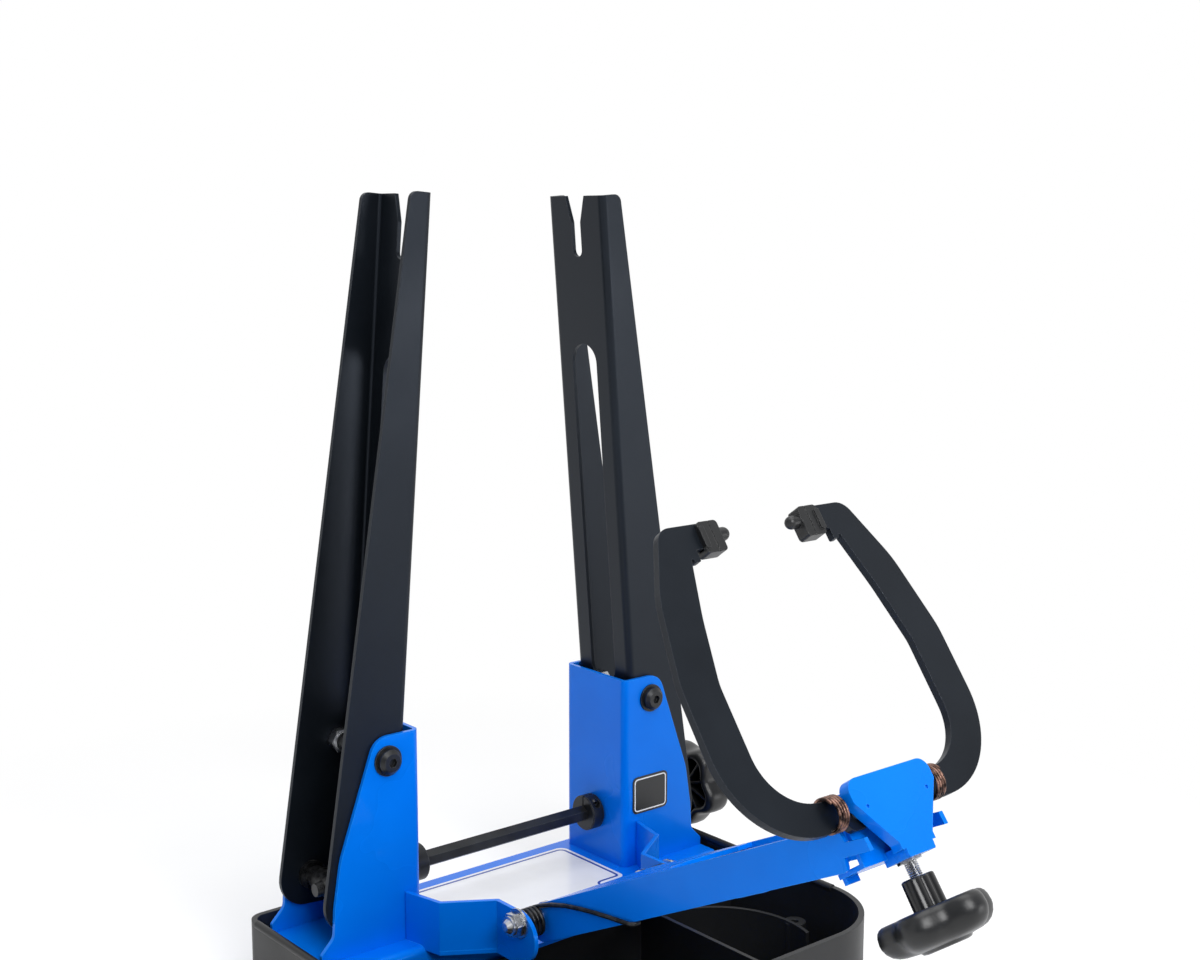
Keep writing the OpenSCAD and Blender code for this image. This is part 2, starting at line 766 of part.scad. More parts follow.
module caliper_housing() {
  color(blue) in_caliper() difference() {
    translate([0, 8, 0]) rotate([90, 0, 0]) difference() {
      linear_extrude(8) housing_plan(0);
      translate([0, 0, -sheet]) linear_extrude(8) housing_plan(sheet);
    }
    // Dimples in front of the pins
    for (s = [-1, 1]) translate([s * pin_gap / 2, 0, 0]) bar_y(-1, 1.2, 1.1);
    // The bottom edge is cut back for the screw's nut
    translate([-11.2, sheet - 0.1, -40]) cube([22.4, 20, 15.2]);
  }
}

module caliper_pins() {
  color(steel) in_caliper() for (s = [-1, 1]) translate([s * pin_gap / 2, 0, 0]) {
    bar_y(sheet + 0.3, cal_y - 1, 2.2);
    bar_y(cal_y - 1.2, back_y + sheet + 0.6, pin_d / 2);
    bar_y(back_y + sheet + 0.4, back_y + sheet + 2.4, pin_d / 2 + 2);
  }
}

module screw_nut() {
  color(steel) in_caliper() translate([0, cal_mid, -34.5]) difference() {
    union() {
      cylinder(h = 7.4, d = 13 * 1.1547, $fn = 6);
      cylinder(h = 9.5, r = 5.5);
    }
    translate([0, 0, -1]) cylinder(h = 12, r = 4.1);
  }
}

// ---- calipers ----

module caliper_plan() {
  px = pin_gap / 2;
  top = caliper_reach;
  wide = 34 + bow_r;
  in_r = bow_r - 13.2;
  tail = tail_x - tail_r;
  neck_mid = 3.2;
  difference() {
    outline([
      // Tail and pivot eye, underside
      [tail, -tail_r, tail_r - 0.05], [px - 11, -tail_r, 2], [px - 8, -9.5, 6], [px + 8, -9.5, 5],
      [px + 10.5, neck_mid - 8, 1], [px + 23, neck_mid - 8, 1], [px + 24.5, -6.8, 1],
      // Outside of the bow and of the finger
      [wide, -6.5, 57], [wide - 0.6, 92, 60], [wide - 11.5, top - 42, 70],
      [77.5, top, 12], [47.9, top, 0.4], [47.9, top - 16, 0.4], [56, top - 16, 0.5],
      // Small hook under the finger
      [56, top - 23.5, 1], [60.4, top - 23.5, 1.4], [61.6, top - 18, 1],
      // Inside of the finger and of the bow
      [73, top - 57, 150], [19.6 + in_r, 88, 40], [19.6 + in_r, 16, 34], [px + 24, neck_mid + 8, 4],
      [px + 10.5, neck_mid + 8, 1], [px + 8, 9.5, 4], [px - 8, 9.5, 6], [px - 11, tail_r, 2],
      [tail, tail_r, tail_r - 0.05]]);
    translate([px, 0]) circle(pin_d / 2 + fit);
  }
}

module caliper() {
  color(black) in_caliper() plate_y(cal_y, caliper_t) caliper_plan();
}

// Coil round a caliper's neck, pressing against the front plate's side
module neck_spring() {
  wire_r = 1;
  turns = 5;
  color([0.42, 0.30, 0.20]) in_caliper() for (i = [0 : turns - 1])
    translate([pin_gap / 2 + 12.6 + i * 1.95, cal_mid, 3.2]) rotate([0, 90, 0])
      rotate_extrude() translate([9.7, 0]) circle(wire_r, $fn = 20);
}

module right_spring() { neck_spring(); }

module left_spring() { mirror([1, 0, 0]) neck_spring(); }

module right_caliper() { caliper(); }

module left_caliper() { mirror([1, 0, 0]) caliper(); }

// Pad clipped on a finger's end, with a round nub that touches the rim
module finger_pad() {
  k = caliper_reach;
  color(black) in_caliper() difference() {
    union() {
      plate_y(cal_y - 2.2, caliper_t + 4.4) translate([42, k - 10]) round_rect(16, 20, 2.5);
      translate([0, cal_mid, k - 8]) bar_x(29, 36, 4.2);
      translate([29, cal_mid, k - 8]) sphere(4.2);
      plate_y(cal_y - 3.4, caliper_t + 6.8) translate([48.4, k - 10]) round_rect(4, 14, 1.5);
    }
    translate([47.9, cal_y - 0.02, k - 17]) cube([5, caliper_t + 0.04, 20]);
    // Seam between the pad's two halves
    translate([30, cal_mid - 0.3, k + 0.4]) cube([20, 0.6, 2]);
    translate([40.2, cal_y - 3, k - 22]) cube([0.7, 1.4, 30]);
  }
}

module right_finger_pad() { finger_pad(); }

module left_finger_pad() { mirror([1, 0, 0]) finger_pad(); }

// Yoke that pulls both caliper tails down together; the screw's head turns in its open T slot
module caliper_plunger() {
  g = tail_r + loose;
  color(steel) in_caliper() difference() {
    union() {
      translate([-2, cal_y - 0.6, -g - 4]) cube([4, caliper_t + 1.2, 2 * g + 8]);
      for (z = [g, -g - 4]) translate([-8.2, cal_y - 0.6, z]) cube([16.4, caliper_t + 1.2, 4]);
      translate([-8, cal_mid - 5.5, -21]) cube([16, 9.5, 13]);
    }
    translate([-5.4, cal_mid - 6, -16.6]) cube([10.8, 6, 4.8]);
    translate([0, cal_mid, -16.6]) cylinder(h = 4.8, r = 5.4);
    translate([-3.4, cal_mid - 6, -22]) cube([6.8, 6, 8]);
    translate([0, cal_mid, -22]) cylinder(h = 8, r = 3.4);
  }
}

module caliper_screw() {
  color(steel) in_caliper() translate([0, cal_mid, 0]) {
    translate([0, 0, -16.2]) cylinder(h = 4, r = 5);
    translate([0, 0, -22]) cylinder(h = 6, r = 3);
    translate([0, 0, -54]) thread(8, 32, 1.25);
    translate([0, 0, -76]) cylinder(h = 23, r = 4);
  }
}

// Stepped collar between the knob and the screw
module knob_boss() {
  color(black) in_caliper() translate([0, cal_mid, 0]) difference() {
    union() {
      translate([0, 0, -49]) cylinder(h = 5.5, r = 6.6);
      for (s = [-1, 1]) translate([s * 5.6, 0, -49]) cylinder(h = 6, r = 5.8);
      translate([0, 0, -56]) cylinder(h = 7.2, r = 12);
    }
    translate([0, 0, -70]) cylinder(h = 40, r = 4 + fit);
  }
}

module caliper_knob() {
  color(black) in_caliper() translate([0, cal_mid, -54.5]) difference() {
    mirror([0, 0, 1]) knob(4 + fit);
    translate([0, 0, -1.6]) cylinder(h = 5, r = 12 + fit);
  }
}

tray_base();
rubber_feet();
base_frame();
left_bracket();
right_bracket();
base_label();
badge_plate();
base_bolts();
pivot_bolts();
pivot_washers();
pivot_nuts();
left_upright();
right_upright();
left_trunnion();
right_trunnion();
rod_bushes();
spreading_rod();
rod_sleeve();
clamp_collar();
collar_screw();
rod_knob();
knob_plug();
arm_bolts();
arm_washers();
arm_nuts();
arm_springs();
caliper_arm();
caliper_carrier();
caliper_housing();
caliper_pins();
screw_nut();
left_caliper();
right_caliper();
left_spring();
right_spring();
left_finger_pad();
right_finger_pad();
caliper_plunger();
caliper_screw();
knob_boss();
caliper_knob();
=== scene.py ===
"""Looks for the bicycle wheel truing stand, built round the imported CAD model. Metres."""
import json
import math

import bmesh
import bpy
from mathutils import Matrix, Vector


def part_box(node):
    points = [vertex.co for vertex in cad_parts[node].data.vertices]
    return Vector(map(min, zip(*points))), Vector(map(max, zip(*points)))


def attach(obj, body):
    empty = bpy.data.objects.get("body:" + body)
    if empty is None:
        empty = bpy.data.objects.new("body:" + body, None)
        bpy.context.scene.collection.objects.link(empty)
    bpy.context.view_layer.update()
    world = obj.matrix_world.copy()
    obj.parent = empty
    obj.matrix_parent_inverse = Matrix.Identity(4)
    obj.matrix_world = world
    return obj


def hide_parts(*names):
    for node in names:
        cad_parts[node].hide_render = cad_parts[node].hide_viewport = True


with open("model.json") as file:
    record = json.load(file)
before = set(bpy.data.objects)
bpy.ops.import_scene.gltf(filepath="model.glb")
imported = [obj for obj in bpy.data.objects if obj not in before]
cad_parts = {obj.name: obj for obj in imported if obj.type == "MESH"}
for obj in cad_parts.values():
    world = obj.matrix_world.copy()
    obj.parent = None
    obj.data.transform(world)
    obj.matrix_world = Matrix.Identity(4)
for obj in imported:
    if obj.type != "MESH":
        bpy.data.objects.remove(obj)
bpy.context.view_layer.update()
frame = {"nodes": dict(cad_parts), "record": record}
nodes = frame["nodes"]
MM = 0.001

# ---------------------------------------------------------------- camera
CAMERA_PLACE = Vector((-0.6949, -0.9490, 0.5504))
CAMERA_YAW = math.radians(39.84)
CAMERA_DOWN = math.radians(8.77)
CAMERA_ROLL = math.radians(0.08)
CAMERA_LENS = 49.68


def add_camera():
    look = Vector((
        math.sin(CAMERA_YAW) * math.cos(CAMERA_DOWN),
        math.cos(CAMERA_YAW) * math.cos(CAMERA_DOWN),
        -math.sin(CAMERA_DOWN),
    ))
    level = Vector((math.cos(CAMERA_YAW), -math.sin(CAMERA_YAW), 0.0))
    upright = level.cross(look)
    right = level * math.cos(CAMERA_ROLL) + upright * math.sin(CAMERA_ROLL)
    up = upright * math.cos(CAMERA_ROLL) - level * math.sin(CAMERA_ROLL)
    data = bpy.data.cameras.new("view")
    data.lens = CAMERA_LENS
    data.sensor_width = 36.0
    data.clip_start = 0.05
    camera = bpy.data.objects.new("view", data)
    turn = Matrix((right, up, -look)).transposed().to_4x4()
    camera.matrix_world = Matrix.Translation(CAMERA_PLACE) @ turn
    bpy.context.collection.objects.link(camera)
    bpy.context.scene.camera = camera


# ---------------------------------------------------------------- materials
class Nodes:
    """A short way to build a material's node tree."""

    def __init__(self, name):
        self.material = bpy.data.materials.new(name)
        self.material.use_nodes = True
        self.tree = self.material.node_tree
        self.shader = self.tree.nodes["Principled BSDF"]
        self.where = self.add("ShaderNodeTexCoord").outputs["Object"]

    def add(self, kind, **values):
        node = self.tree.nodes.new(kind)
        for key, value in values.items():
            setattr(node, key, value)
        return node

    def join(self, source, target):
        self.tree.links.new(source, target)

    def feed(self, socket, value):
        if isinstance(value, bpy.types.NodeSocket):
            self.join(value, socket)
        else:
            socket.default_value = value

    def noise(self, scale, detail=3.0, rough=0.55, stretch=None):
        node = self.add("ShaderNodeTexNoise")
        node.inputs["Scale"].default_value = scale
        node.inputs["Detail"].default_value = detail
        node.inputs["Roughness"].default_value = rough
        place = self.where
        if stretch:
            mapping = self.add("ShaderNodeMapping")
            mapping.inputs["Scale"].default_value = stretch
            self.join(self.where, mapping.inputs["Vector"])
            place = mapping.outputs["Vector"]
        self.join(place, node.inputs["Vector"])
        return node.outputs["Fac"]

    def ramp(self, value, low, high, to_low=0.0, to_high=1.0):
        node = self.add("ShaderNodeMapRange")
        node.inputs["From Min"].default_value = low
        node.inputs["From Max"].default_value = high
        node.inputs["To Min"].default_value = to_low
        node.inputs["To Max"].default_value = to_high
        self.join(value, node.inputs["Value"])
        return node.outputs["Result"]

    def mix(self, factor, first, second):
        """Two colours mixed; a Mix node's colours are its inputs 6 and 7 and its output 2."""
        node = self.add("ShaderNodeMix", data_type="RGBA")
        self.feed(node.inputs["Factor"], factor)
        self.feed(node.inputs[6], first)
        self.feed(node.inputs[7], second)
        return node.outputs[2]

    def math(self, kind, first, second):
        node = self.add("ShaderNodeMath", operation=kind)
        self.feed(node.inputs[0], first)
        self.feed(node.inputs[1], second)
        return node.outputs[0]

    def edges(self, radius, low=0.02, high=0.25):
        """How near a sharp edge is: 1 on the edge, 0 on open faces."""
        bevel = self.add("ShaderNodeBevel", samples=4)
        bevel.inputs["Radius"].default_value = radius
        plain = self.add("ShaderNodeNewGeometry").outputs["Normal"]
        dot = self.add("ShaderNodeVectorMath", operation="DOT_PRODUCT")
        self.join(bevel.outputs["Normal"], dot.inputs[0])
        self.join(plain, dot.inputs[1])
        away = self.math("SUBTRACT", 1.0, dot.outputs["Value"])
        return self.ramp(away, low, high)

    def bump(self, height, strength, distance, bevel_radius=0.0):
        node = self.add("ShaderNodeBump")
        node.inputs["Strength"].default_value = strength
        node.inputs["Distance"].default_value = distance
        self.join(height, node.inputs["Height"])
        if bevel_radius:
            bevel = self.add("ShaderNodeBevel", samples=4)
            bevel.inputs["Radius"].default_value = bevel_radius
            self.join(bevel.outputs["Normal"], node.inputs["Normal"])
        self.join(node.outputs["Normal"], self.shader.inputs["Normal"])

    def set(self, **values):
        names = {"color": "Base Color", "rough": "Roughness", "metal": "Metallic",
                 "coat": "Coat Weight", "coat_rough": "Coat Roughness", "shine": "Specular IOR Level",
                 "tint": "Specular Tint"}
        for key, value in values.items():
            self.feed(self.shader.inputs[names[key]], value)
        return self.material


def grey(value, blue=0.0):
    return (value, value + blue * 0.4, value + blue, 1.0)


def blue_paint():
    n = Nodes("blue_paint")
    cloud = n.noise(9.0, 3.0)
    peel = n.noise(620.0, 2.0)
    color = n.mix(n.ramp(cloud, 0.35, 0.65), (0.0, 0.152, 0.740, 1.0), (0.0, 0.180, 0.830, 1.0))
    # Painted highlight: sharp edges are lightened towards a brighter blue, in place of light caught on
    # the edges
    edge = n.edges(0.0011, 0.03, 0.3)
    color = n.mix(n.math("MULTIPLY", edge, 0.5), color, (0.03, 0.36, 0.98, 1.0))
    n.bump(peel, 0.05, 0.0004, 0.0008)
    return n.set(color=color, rough=n.ramp(cloud, 0.3, 0.7, 0.22, 0.3), shine=0.5, coat=0.08,
                 coat_rough=0.06, tint=(0.0, 0.42, 1.0, 1.0))


def black_coat():
    n = Nodes("black_coat")
    cloud = n.noise(14.0, 4.0)
    grain = n.noise(1500.0, 2.0)
    color = n.mix(n.ramp(cloud, 0.3, 0.7), grey(0.0032, 0.0030), grey(0.0055, 0.0050))
    # Painted highlight: sharp edges are lightened to grey, in place of light glinting off the cut edges
    edge = n.edges(0.0007, 0.03, 0.3)
    color = n.mix(n.math("MULTIPLY", edge, 0.35), color, grey(0.16, 0.03))
    n.bump(grain, 0.16, 0.00025, 0.0006)
    return n.set(color=color, rough=n.ramp(cloud, 0.3, 0.7, 0.32, 0.42), shine=0.32,
                 tint=(0.72, 0.82, 1.0, 1.0))


def black_steel():
    n = Nodes("black_steel")
    cloud = n.noise(60.0, 4.0)
    color = n.mix(n.ramp(cloud, 0.3, 0.7), grey(0.010, 0.002), grey(0.022, 0.004))
    # Painted highlight: sharp edges are lightened to grey, in place of light glinting off the edges
    edge = n.edges(0.0005, 0.03, 0.3)
    color = n.mix(n.math("MULTIPLY", edge, 0.5), color, grey(0.22, 0.02))
    n.bump(n.noise(900.0, 2.0), 0.1, 0.0002, 0.0004)
    return n.set(color=color, metal=0.35, rough=n.ramp(cloud, 0.3, 0.7, 0.28, 0.42))


def zinc():
    n = Nodes("zinc")
    cloud = n.noise(120.0, 4.0)
    turned = n.noise(260.0, 2.0, 0.5, (1.0, 1.0, 9.0))
    color = n.mix(n.ramp(cloud, 0.3, 0.7), (0.42, 0.43, 0.45, 1.0), (0.66, 0.67, 0.69, 1.0))
    n.bump(turned, 0.08, 0.0002, 0.0004)
    return n.set(color=color, metal=1.0, rough=n.ramp(cloud, 0.3, 0.7, 0.2, 0.36))


def treated_steel(name, dark, light):
    n = Nodes(name)
    cloud = n.noise(180.0, 4.0)
    color = n.mix(n.ramp(cloud, 0.42, 0.66), dark, light)
    n.bump(n.noise(1100.0, 2.0), 0.08, 0.0002)
    return n.set(color=color, metal=0.75, rough=n.ramp(cloud, 0.3, 0.7, 0.24, 0.4))


def moulded(name, value, low, high, grain_scale, strength):
    n = Nodes(name)
    cloud = n.noise(16.0, 3.0)
    grain = n.noise(grain_scale, 3.0)
    color = n.mix(n.ramp(cloud, 0.3, 0.7), grey(value * 0.8, 0.001), grey(value * 1.25, 0.002))
    # Painted highlight: sharp edges are lightened a little, in place of light caught on the moulded
    # edges
    edge = n.edges(0.001, 0.03, 0.3)
    color = n.mix(n.math("MULTIPLY", edge, 0.25), color, grey(0.09, 0.004))
    n.bump(grain, strength, 0.0003, 0.0008)
    return n.set(color=color, rough=n.ramp(cloud, 0.3, 0.7, low, high))


def label_film():
    n = Nodes("label_film")
    cloud = n.noise(24.0, 3.0)
    color = n.mix(n.ramp(cloud, 0.3, 0.7), grey(0.78, 0.01), grey(0.86, 0.01))
    n.bump(n.noise(700.0, 2.0), 0.05, 0.0002)
    return n.set(color=color, rough=n.ramp(cloud, 0.3, 0.7, 0.3, 0.4), coat=0.3)


def ink(name, color, rough):
    n = Nodes(name)
    tone = n.noise(300.0, 2.0)
    light = tuple(min(1.0, c * 1.12) for c in color[:3]) + (1.0,)
    return n.set(color=n.mix(n.ramp(tone, 0.3, 0.7), color, light), rough=rough)


MATERIALS = {
    "blue_paint": blue_paint(),
    "black_coat": black_coat(),
    "black_steel": black_steel(),
    "zinc": zinc(),
    "black_zinc": treated_steel("black_zinc", grey(0.02, 0.002), grey(0.09, 0.004)),
    "spring_steel": treated_steel("spring_steel", grey(0.012, 0.002), grey(0.05, 0.004)),
    "bronze_wire": treated_steel("bronze_wire", (0.02, 0.010, 0.008, 1.0), (0.36, 0.20, 0.15, 1.0)),
    "tray_plastic": moulded("tray_plastic", 0.008, 0.42, 0.55, 900.0, 0.25),
    "knob_plastic": moulded("knob_plastic", 0.008, 0.3, 0.42, 1100.0, 0.16),
    "boss_plastic": moulded("boss_plastic", 0.006, 0.18, 0.26, 800.0, 0.08),
    "pad_plastic": moulded("pad_plastic", 0.009, 0.34, 0.45, 1300.0, 0.15),
    "rubber": moulded("rubber", 0.012, 0.7, 0.85, 700.0, 0.3),
    "label_film": label_film(),
    "badge_film": ink("badge_film", grey(0.012, 0.002), 0.3),
}
WHITE_INK = ink("white_ink", grey(0.78), 0.35)
BLUE_INK = ink("blue_ink", (0.004, 0.045, 0.30, 1.0), 0.32)


# The trunnions are zinc like the other hardware, but chromated dark
DARK_ZINC = {"left_trunnion": "black_zinc", "right_trunnion": "black_zinc"}


def dress_nodes():
    slots = {s["node"]: s["material_slot"] for s in frame["record"]["subparts"]}
    for name, obj in nodes.items():
        material = MATERIALS[DARK_ZINC.get(name, slots[name])]
        if not obj.material_slots:
            obj.data.materials.append(material)
        for place in obj.material_slots:
            place.material = material


# ---------------------------------------------------------------- pieces
def new_piece(name, mesh, material, body, replaced=()):
    obj = bpy.data.objects.new(name, mesh)
    bpy.context.collection.objects.link(obj)
    obj.data.materials.append(material)
    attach(obj, body)
    if replaced:
        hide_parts(*replaced)


def ribbon(points, width, thick):
    """A closed flat band along points in the XY plane, from z 0 up to thick."""
    bm = bmesh.new()
    count = len(points)
    rings = []
    for i, point in enumerate(points):
        ahead = points[(i + 1) % count] - points[i - 1]
        side = Vector((ahead.y, -ahead.x)).normalized() * (width / 2)
        ring = []
        for offset, height in ((side, 0.0), (side, thick), (-side, thick), (-side, 0.0)):
            spot = point + offset
            ring.append(bm.verts.new((spot.x, spot.y, height)))
        rings.append(ring)
    for i in range(count):
        a = rings[i]
        b = rings[(i + 1) % count]
        for k in range(4):
            bm.faces.new((a[k], b[k], b[(k + 1) % 4], a[(k + 1) % 4]))
    bmesh.ops.recalc_face_normals(bm, faces=bm.faces)
    mesh = bpy.data.meshes.new("ribbon")
    bm.to_mesh(mesh)
    bm.free()
    return mesh


def tube(name, points, radius, sides=12):
    """A round wire along an open line of points, with rounded-off ends."""
    bm = bmesh.new()
    rings = []
    side = None
    for i, point in enumerate(points):
        along = (points[min(i + 1, len(points) - 1)] - points[max(i - 1, 0)]).normalized()
        if side is None:
            side = along.orthogonal().normalized()
        side = (side - along * side.dot(along)).normalized()
        other = along.cross(side)
        rings.append([bm.verts.new(point + radius * (math.cos(t) * side + math.sin(t) * other))
                      for t in (2 * math.pi * k / sides for k in range(sides))])
        if i in (0, len(points) - 1):
            out = along if i else -along
            rim = rings[-1]
            for reach, part in ((0.45, 0.86), (0.8, 0.55)):
                tip = point + out * radius * reach
                lid = [bm.verts.new(tip + (v.co - point) * part) for v in rings[-1]]
                for k in range(sides):
                    bm.faces.new((rim[k], rim[(k + 1) % sides], lid[(k + 1) % sides], lid[k]))
                rim = lid
            bm.faces.new(rim)
    for a, b in zip(rings, rings[1:]):
        for k in range(sides):
            bm.faces.new((a[k], a[(k + 1) % sides], b[(k + 1) % sides], b[k]))
    bmesh.ops.recalc_face_normals(bm, faces=bm.faces)
    return smooth_mesh(bm, name)


def smooth_mesh(bm, name):
    mesh = bpy.data.meshes.new(name)
    bm.to_mesh(mesh)
    bm.free()
    for face in mesh.polygons:
        face.use_smooth = True
    return mesh


def rounded(corners, steps=8):
    """An outline with rounded corners, from corners given as (x, y, radius) in millimetres."""
    points = []
    count = len(corners)
    for i, (x, y, radius) in enumerate(corners):
        here = Vector((x, y))
        u = (Vector(corners[i - 1][:2]) - here).normalized()
        v = (Vector(corners[(i + 1) % count][:2]) - here).normalized()
        half = u.angle(v) / 2
        middle = here + (u + v).normalized() * radius / math.sin(half)
        start = here + u * radius / math.tan(half) - middle
        end = here + v * radius / math.tan(half) - middle
        turn = math.atan2(start.x * end.y - start.y * end.x, start.dot(end))
        for k in range(steps + 1):
            a = math.atan2(start.y, start.x) + turn * k / steps
            points.append((middle + radius * Vector((math.cos(a), math.sin(a)))) * MM)
    return points


def label_border():
    """The thin printed line that follows the label's own outline."""
    low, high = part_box("base_label")
    inset, line_width, line_height = 3.6, 2.0, 0.06
    tongue_half, step_y = 61, -47
    wide = high[0] / MM - inset
    tongue = tongue_half - inset
    back = high[1] / MM - inset
    front = low[1] / MM + inset
    step = step_y + inset
    outline = rounded([(-wide, back, 5), (-wide, step, 3), (-tongue, step, 5), (-tongue, front, 2),
                       (tongue, front, 2), (tongue, step, 5), (wide, step, 3), (wide, back, 5)])
    mesh = ribbon(outline, line_width * MM, line_height * MM)
    mesh.transform(Matrix.Translation((0.0, 0.0, high[2])))
    new_piece("label_line", mesh, BLUE_INK, "base")


def badge_border():
    """The white printed line, which fills the badge's shallow groove and stands just proud of it."""
    low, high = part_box("badge_plate")
    middle = (Vector(low) + Vector(high)) / 2
    inset, sunk, line_width, line_height = 2, 0.25, 0.9, 0.4
    wide = (high[0] - low[0]) / MM / 2 - inset
    tall = (high[2] - low[2]) / MM / 2 - inset
    outline = rounded([(-wide, -tall, 2.6), (wide, -tall, 2.6), (wide, tall, 2.6), (-wide, tall, 2.6)])
    mesh = ribbon(outline, line_width * MM, line_height * MM)
    mesh.transform(Matrix.Translation((middle.x, low[1] + sunk * MM, middle.z))
                   @ Matrix.Rotation(math.radians(90), 4, "X"))
    new_piece("badge_line", mesh, WHITE_INK, "base")


# Sizes in millimetres, as in the CAD model
KNOB_R = 35.0
KNOB_LOBES = 5
CALIPER_MID = 12.5
NECK_MID = 3.2
CALIPER_KNOB_FACE = -61
ARM_HALF_WIDTH = 50

# Places in metres: the spreading knob's open face, the arm's frame and the calipers' frame
ROD_KNOB_PLACE = (0.184, 0.0, 0.101)
ARM = Matrix.Translation((0.0, -0.113, 0.091)) @ Matrix.Rotation(math.radians(-26.2), 4, "X")
PINS = Matrix.Translation((0.0, -0.2996, 0.0139))
CALIPERS = ARM @ PINS @ Matrix.Rotation(math.radians(-9.5), 4, "X")


def arm_spring(side):
    """Torsion spring on one pivot bolt: a hanging coil with a leg hooked under the arm's wall."""
    wire, coil, drop, pitch, turns = 1.55, 8.7, 2.0, 3.15, 3.6
    wall = ARM_HALF_WIDTH + wire + 0.15
    wall_slope = 0.0562
    points = []
    steps = int(turns * 28)
    for i in range(steps + 1):
        t = i / steps
        a = math.radians(90) + 2 * math.pi * turns * (1 - t)
        x = wall + pitch * turns * (1 - t) + 0.2
        points.append(Vector((side * x, -coil * math.cos(a), coil * math.sin(a) - drop)))
    leg = ((-8, 6.4), (-18, 5.4), (-32, 2.6), (-46, -1.6), (-60, -6.4), (-73, -11.4), (-81, -14.6),
           (-87, -17.0), (-90.5, -18.4))
    for along, height in leg:
        points.append(Vector((side * (wall + along * wall_slope), along, height)))
    points.append(Vector((side * (wall - 6.6), -92.3, -18.9)))
    points.append(Vector((side * (wall - 10.0), -92.8, -19.0)))
    mesh = tube("arm_spring", [p * MM for p in points], wire * MM, 14)
    mesh.transform(ARM)
    return mesh


def join_meshes(name, meshes):
    bm = bmesh.new()
    for mesh in meshes:
        bm.from_mesh(mesh)
    return smooth_mesh(bm, name)


def neck_spring(side):
    """Coil wound round a caliper's neck, beside the front plate."""
    wire, coil, pitch, turns, start = 0.95, 9.7, 2.05, 4.2, 37.4
    points = []
    steps = int(turns * 30)
    for i in range(steps + 1):
        t = i / steps
        a = math.radians(75) + 2 * math.pi * turns * t
        across = CALIPER_MID + coil * math.cos(a)
        up = NECK_MID + coil * math.sin(a)
        points.append(Vector((side * (start + pitch * turns * t), across, up)))
    mesh = tube("neck_spring", [p * MM for p in points], wire * MM, 12)
    mesh.transform(CALIPERS)
    return mesh


def lobed_knob(name, height, crown, rib_top):
    """A moulded star knob: hollow face at z 0, crown on the other side, ribs in the hollow.

    Each row of the profile is a share of the knob's radius, a height and how far the lobes show.
    """
    floor = height - 6.6
    valley, sharpness, rib_width = 0.2, 1.25, 1.8
    profile = ((0.34, height + crown, 0), (0.41, height + crown - 0.6, 0),
               (0.44, height + 0.2, 0.1), (0.52, height - 0.1, 0.4), (0.66, height - 0.6, 0.8),
               (0.78, height - 1.6, 1), (0.88, height - 3.6, 1), (0.95, height - 6.4, 1),
               (0.99, height - 9.6, 1), (1.0, height * 0.42, 1), (0.985, 4.6, 1), (0.955, 2.2, 1),
               (0.91, 0.7, 1), (0.86, 0.0, 1), (0.81, 0.25, 1), (0.77, 1.4, 1), (0.745, 3.4, 1),
               (0.72, height - 9.0, 1), (0.69, height - 7.4, 0.9), (0.4, floor, 0.2))
    bm = bmesh.new()
    steps = 120
    rings = []
    for part, z, lobing in profile:
        ring = []
        for i in range(steps):
            a = 2 * math.pi * i / steps
            dip = (0.5 - 0.5 * math.cos(KNOB_LOBES * a)) ** sharpness
            r = KNOB_R * part * (1 - valley * lobing * dip)
            ring.append(bm.verts.new((r * math.cos(a) * MM, r * math.sin(a) * MM, z * MM)))
        rings.append(ring)
    middle = bm.verts.new((0, 0, (height + crown) * MM))
    for i in range(steps):
        bm.faces.new((middle, rings[0][i], rings[0][(i + 1) % steps]))
    for a, b in zip(rings, rings[1:]):
        for i in range(steps):
            bm.faces.new((a[i], b[i], b[(i + 1) % steps], a[(i + 1) % steps]))
    rib_bm = bmesh.new()
    for i in range(2 * KNOB_LOBES):
        reach = KNOB_R * (0.72 if i % 2 == 0 else 0.6)
        turn = Matrix.Rotation(math.pi * i / KNOB_LOBES, 4, "Z")
        place = turn @ Matrix.Translation((reach / 2 * MM, 0, (rib_top + floor) / 2 * MM))
        size = Matrix.Diagonal((reach * MM, rib_width * MM, (floor - rib_top) * MM, 1))
        bmesh.ops.create_cube(rib_bm, size=1.0, matrix=place @ size)
    ribs = bpy.data.meshes.new("ribs")
    rib_bm.to_mesh(ribs)
    rib_bm.free()
    body = smooth_mesh(bm, name)
    bm = bmesh.new()
    bm.from_mesh(body)
    bm.from_mesh(ribs)
    mesh = bpy.data.meshes.new(name)
    bm.to_mesh(mesh)
    bm.free()
    for face in mesh.polygons:
        face.use_smooth = face.index < len(body.polygons)
    return mesh


def post(radius, low, high, x=0.0, steps=48):
    """An upright round post with softly rounded top edges."""
    bm = bmesh.new()
    rings = []
    for r, z in ((radius + 0.3, low), (radius, high - 1.2), (radius - 0.25, high - 0.5),
                 (radius - 0.8, high - 0.1), (radius - 1.4, high)):
        rings.append([bm.verts.new(((x + r * math.cos(a)) * MM, r * math.sin(a) * MM, z * MM))
                      for a in (2 * math.pi * k / steps for k in range(steps))])
    for a, b in zip(rings, rings[1:]):
        for k in range(steps):
            bm.faces.new((a[k], a[(k + 1) % steps], b[(k + 1) % steps], b[k]))
    bm.faces.new(rings[-1])
    return smooth_mesh(bm, "post")


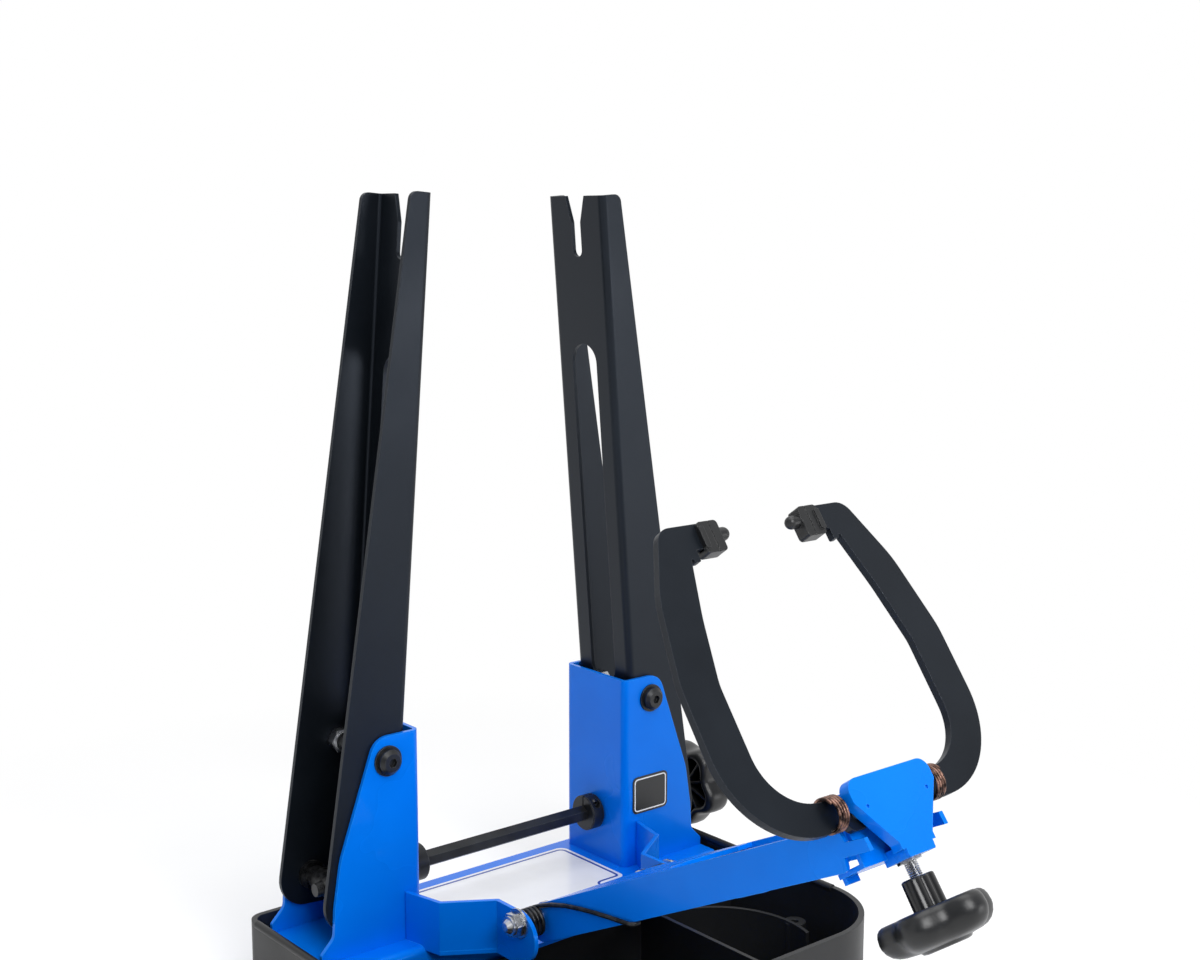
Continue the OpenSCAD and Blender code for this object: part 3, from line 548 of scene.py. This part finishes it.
def knobs():
    plastic = MATERIALS["knob_plastic"]
    mesh = lobed_knob("rod_knob_moulded", 27, 2, 4)
    mesh.transform(Matrix.Translation(ROD_KNOB_PLACE) @ Matrix.Rotation(math.radians(90), 4, "Y"))
    new_piece("rod_knob_moulded", mesh, plastic, "screw", ("rod_knob",))
    mesh = lobed_knob("caliper_knob_moulded", 20.5, 2, 7)
    screw_axis = CALIPERS @ Matrix.Translation((0, CALIPER_MID * MM, 0))
    turned = Matrix.Rotation(math.pi, 4, "X") @ Matrix.Rotation(math.radians(90), 4, "Z")
    mesh.transform(screw_axis @ Matrix.Translation((0, 0, CALIPER_KNOB_FACE * MM)) @ turned)
    new_piece("caliper_knob_moulded", mesh, plastic, "adjuster", ("caliper_knob",))
    foot, top, apart = -73, -43.2, 5.6
    posts = [post(6.4, foot, top - 0.3), post(5.8, foot, top, -apart), post(5.8, foot, top, apart)]
    mesh = join_meshes("knob_boss_moulded", posts)
    mesh.transform(screw_axis)
    new_piece("knob_boss_moulded", mesh, MATERIALS["boss_plastic"], "adjuster",
              ("knob_boss",))


def springs():
    both = join_meshes("arm_springs_wound", [arm_spring(-1), arm_spring(1)])
    new_piece("arm_springs_wound", both, MATERIALS["spring_steel"], "arm",
              ("arm_springs",))
    for side, word in ((-1, "left"), (1, "right")):
        new_piece(word + "_spring_wound", neck_spring(side), MATERIALS["bronze_wire"],
                  word + "_jaw", (word + "_spring",))


# ---------------------------------------------------------------- studio
def add_light(name, place, target, size, power):
    data = bpy.data.lights.new(name, "AREA")
    data.shape = "RECTANGLE"
    data.size = size[0]
    data.size_y = size[1]
    data.energy = power
    obj = bpy.data.objects.new(name, data)
    obj.location = place
    obj.rotation_euler = (Vector(target) - Vector(place)).to_track_quat("-Z", "Y").to_euler()
    bpy.context.collection.objects.link(obj)


def shown_white(n, surface):
    """Makes a surface plain white where the lens or a shiny part looks at it far from the object."""
    glow = n.add("ShaderNodeEmission")
    path = n.add("ShaderNodeLightPath")
    seen = n.math("MAXIMUM", path.outputs["Is Camera Ray"], path.outputs["Is Glossy Ray"])
    length = n.add("ShaderNodeVectorMath", operation="LENGTH")
    n.join(n.where, length.inputs[0])
    far = n.ramp(length.outputs["Value"], 0.28, 0.75)
    mix = n.add("ShaderNodeMixShader")
    n.join(n.math("MULTIPLY", seen, far), mix.inputs[0])
    n.join(surface, mix.inputs[1])
    n.join(glow.outputs[0], mix.inputs[2])
    n.join(mix.outputs[0], n.tree.nodes["Material Output"].inputs["Surface"])


def add_floor():
    mesh = bpy.data.meshes.new("floor")
    bm = bmesh.new()
    bmesh.ops.create_grid(bm, x_segments=1, y_segments=1, size=30.0)
    bm.to_mesh(mesh)
    bm.free()
    floor = bpy.data.objects.new("floor", mesh)
    bpy.context.collection.objects.link(floor)
    n = Nodes("floor")
    tone = n.noise(3.0, 2.0)
    n.set(color=n.mix(n.ramp(tone, 0.3, 0.7), grey(0.90), grey(0.93)), rough=0.8)
    shown_white(n, n.shader.outputs[0])
    floor.data.materials.append(n.material)


def add_world():
    """White to the lens; to the object, bright behind and to the right, dim in front and to the left."""
    world = bpy.data.worlds.new("studio")
    bpy.context.scene.world = world
    world.use_nodes = True
    tree = world.node_tree
    back = tree.nodes["Background"]
    back.inputs["Strength"].default_value = 1.0
    path = tree.nodes.new("ShaderNodeLightPath")
    where = tree.nodes.new("ShaderNodeTexCoord")
    bright_side, dim, bright = (0.8, 1.0, 0.4), -0.2, 0.8
    slope = tree.nodes.new("ShaderNodeMapRange")
    slope.inputs["From Min"].default_value = dim
    slope.inputs["From Max"].default_value = bright
    toward = tree.nodes.new("ShaderNodeVectorMath")
    toward.operation = "DOT_PRODUCT"
    toward.inputs[1].default_value = bright_side
    tree.links.new(where.outputs["Generated"], toward.inputs[0])
    tree.links.new(toward.outputs["Value"], slope.inputs["Value"])
    room = tree.nodes.new("ShaderNodeMix")
    room.data_type = "RGBA"
    room.inputs[6].default_value = (0.13, 0.14, 0.16, 1.0)
    room.inputs[7].default_value = (1.0, 1.0, 1.0, 1.0)
    tree.links.new(slope.outputs["Result"], room.inputs["Factor"])
    mix = tree.nodes.new("ShaderNodeMix")
    mix.data_type = "RGBA"
    mix.inputs[7].default_value = (1.0, 1.0, 1.0, 1.0)
    tree.links.new(path.outputs["Is Camera Ray"], mix.inputs["Factor"])
    tree.links.new(room.outputs[2], mix.inputs[6])
    tree.links.new(mix.outputs[2], back.inputs["Color"])


def add_lights():
    add_light("key", (-0.5, -1.9, 1.7), (0, -0.1, 0.25), (1.2, 1.2), 40.0)
    add_light("side", (-1.9, -0.2, 1.0), (0, -0.1, 0.3), (1.0, 1.6), 4.0)
    add_light("right", (1.3, -2.1, 0.22), (0, -0.1, 0.25), (0.9, 1.1), 12.0)
    add_light("top", (0.0, -0.2, 2.2), (0, -0.1, 0.2), (1.6, 1.6), 18.0)


add_camera()
dress_nodes()
label_border()
badge_border()
springs()
knobs()
add_floor()
add_world()
add_lights()
bpy.context.scene.view_settings.view_transform = "Standard"
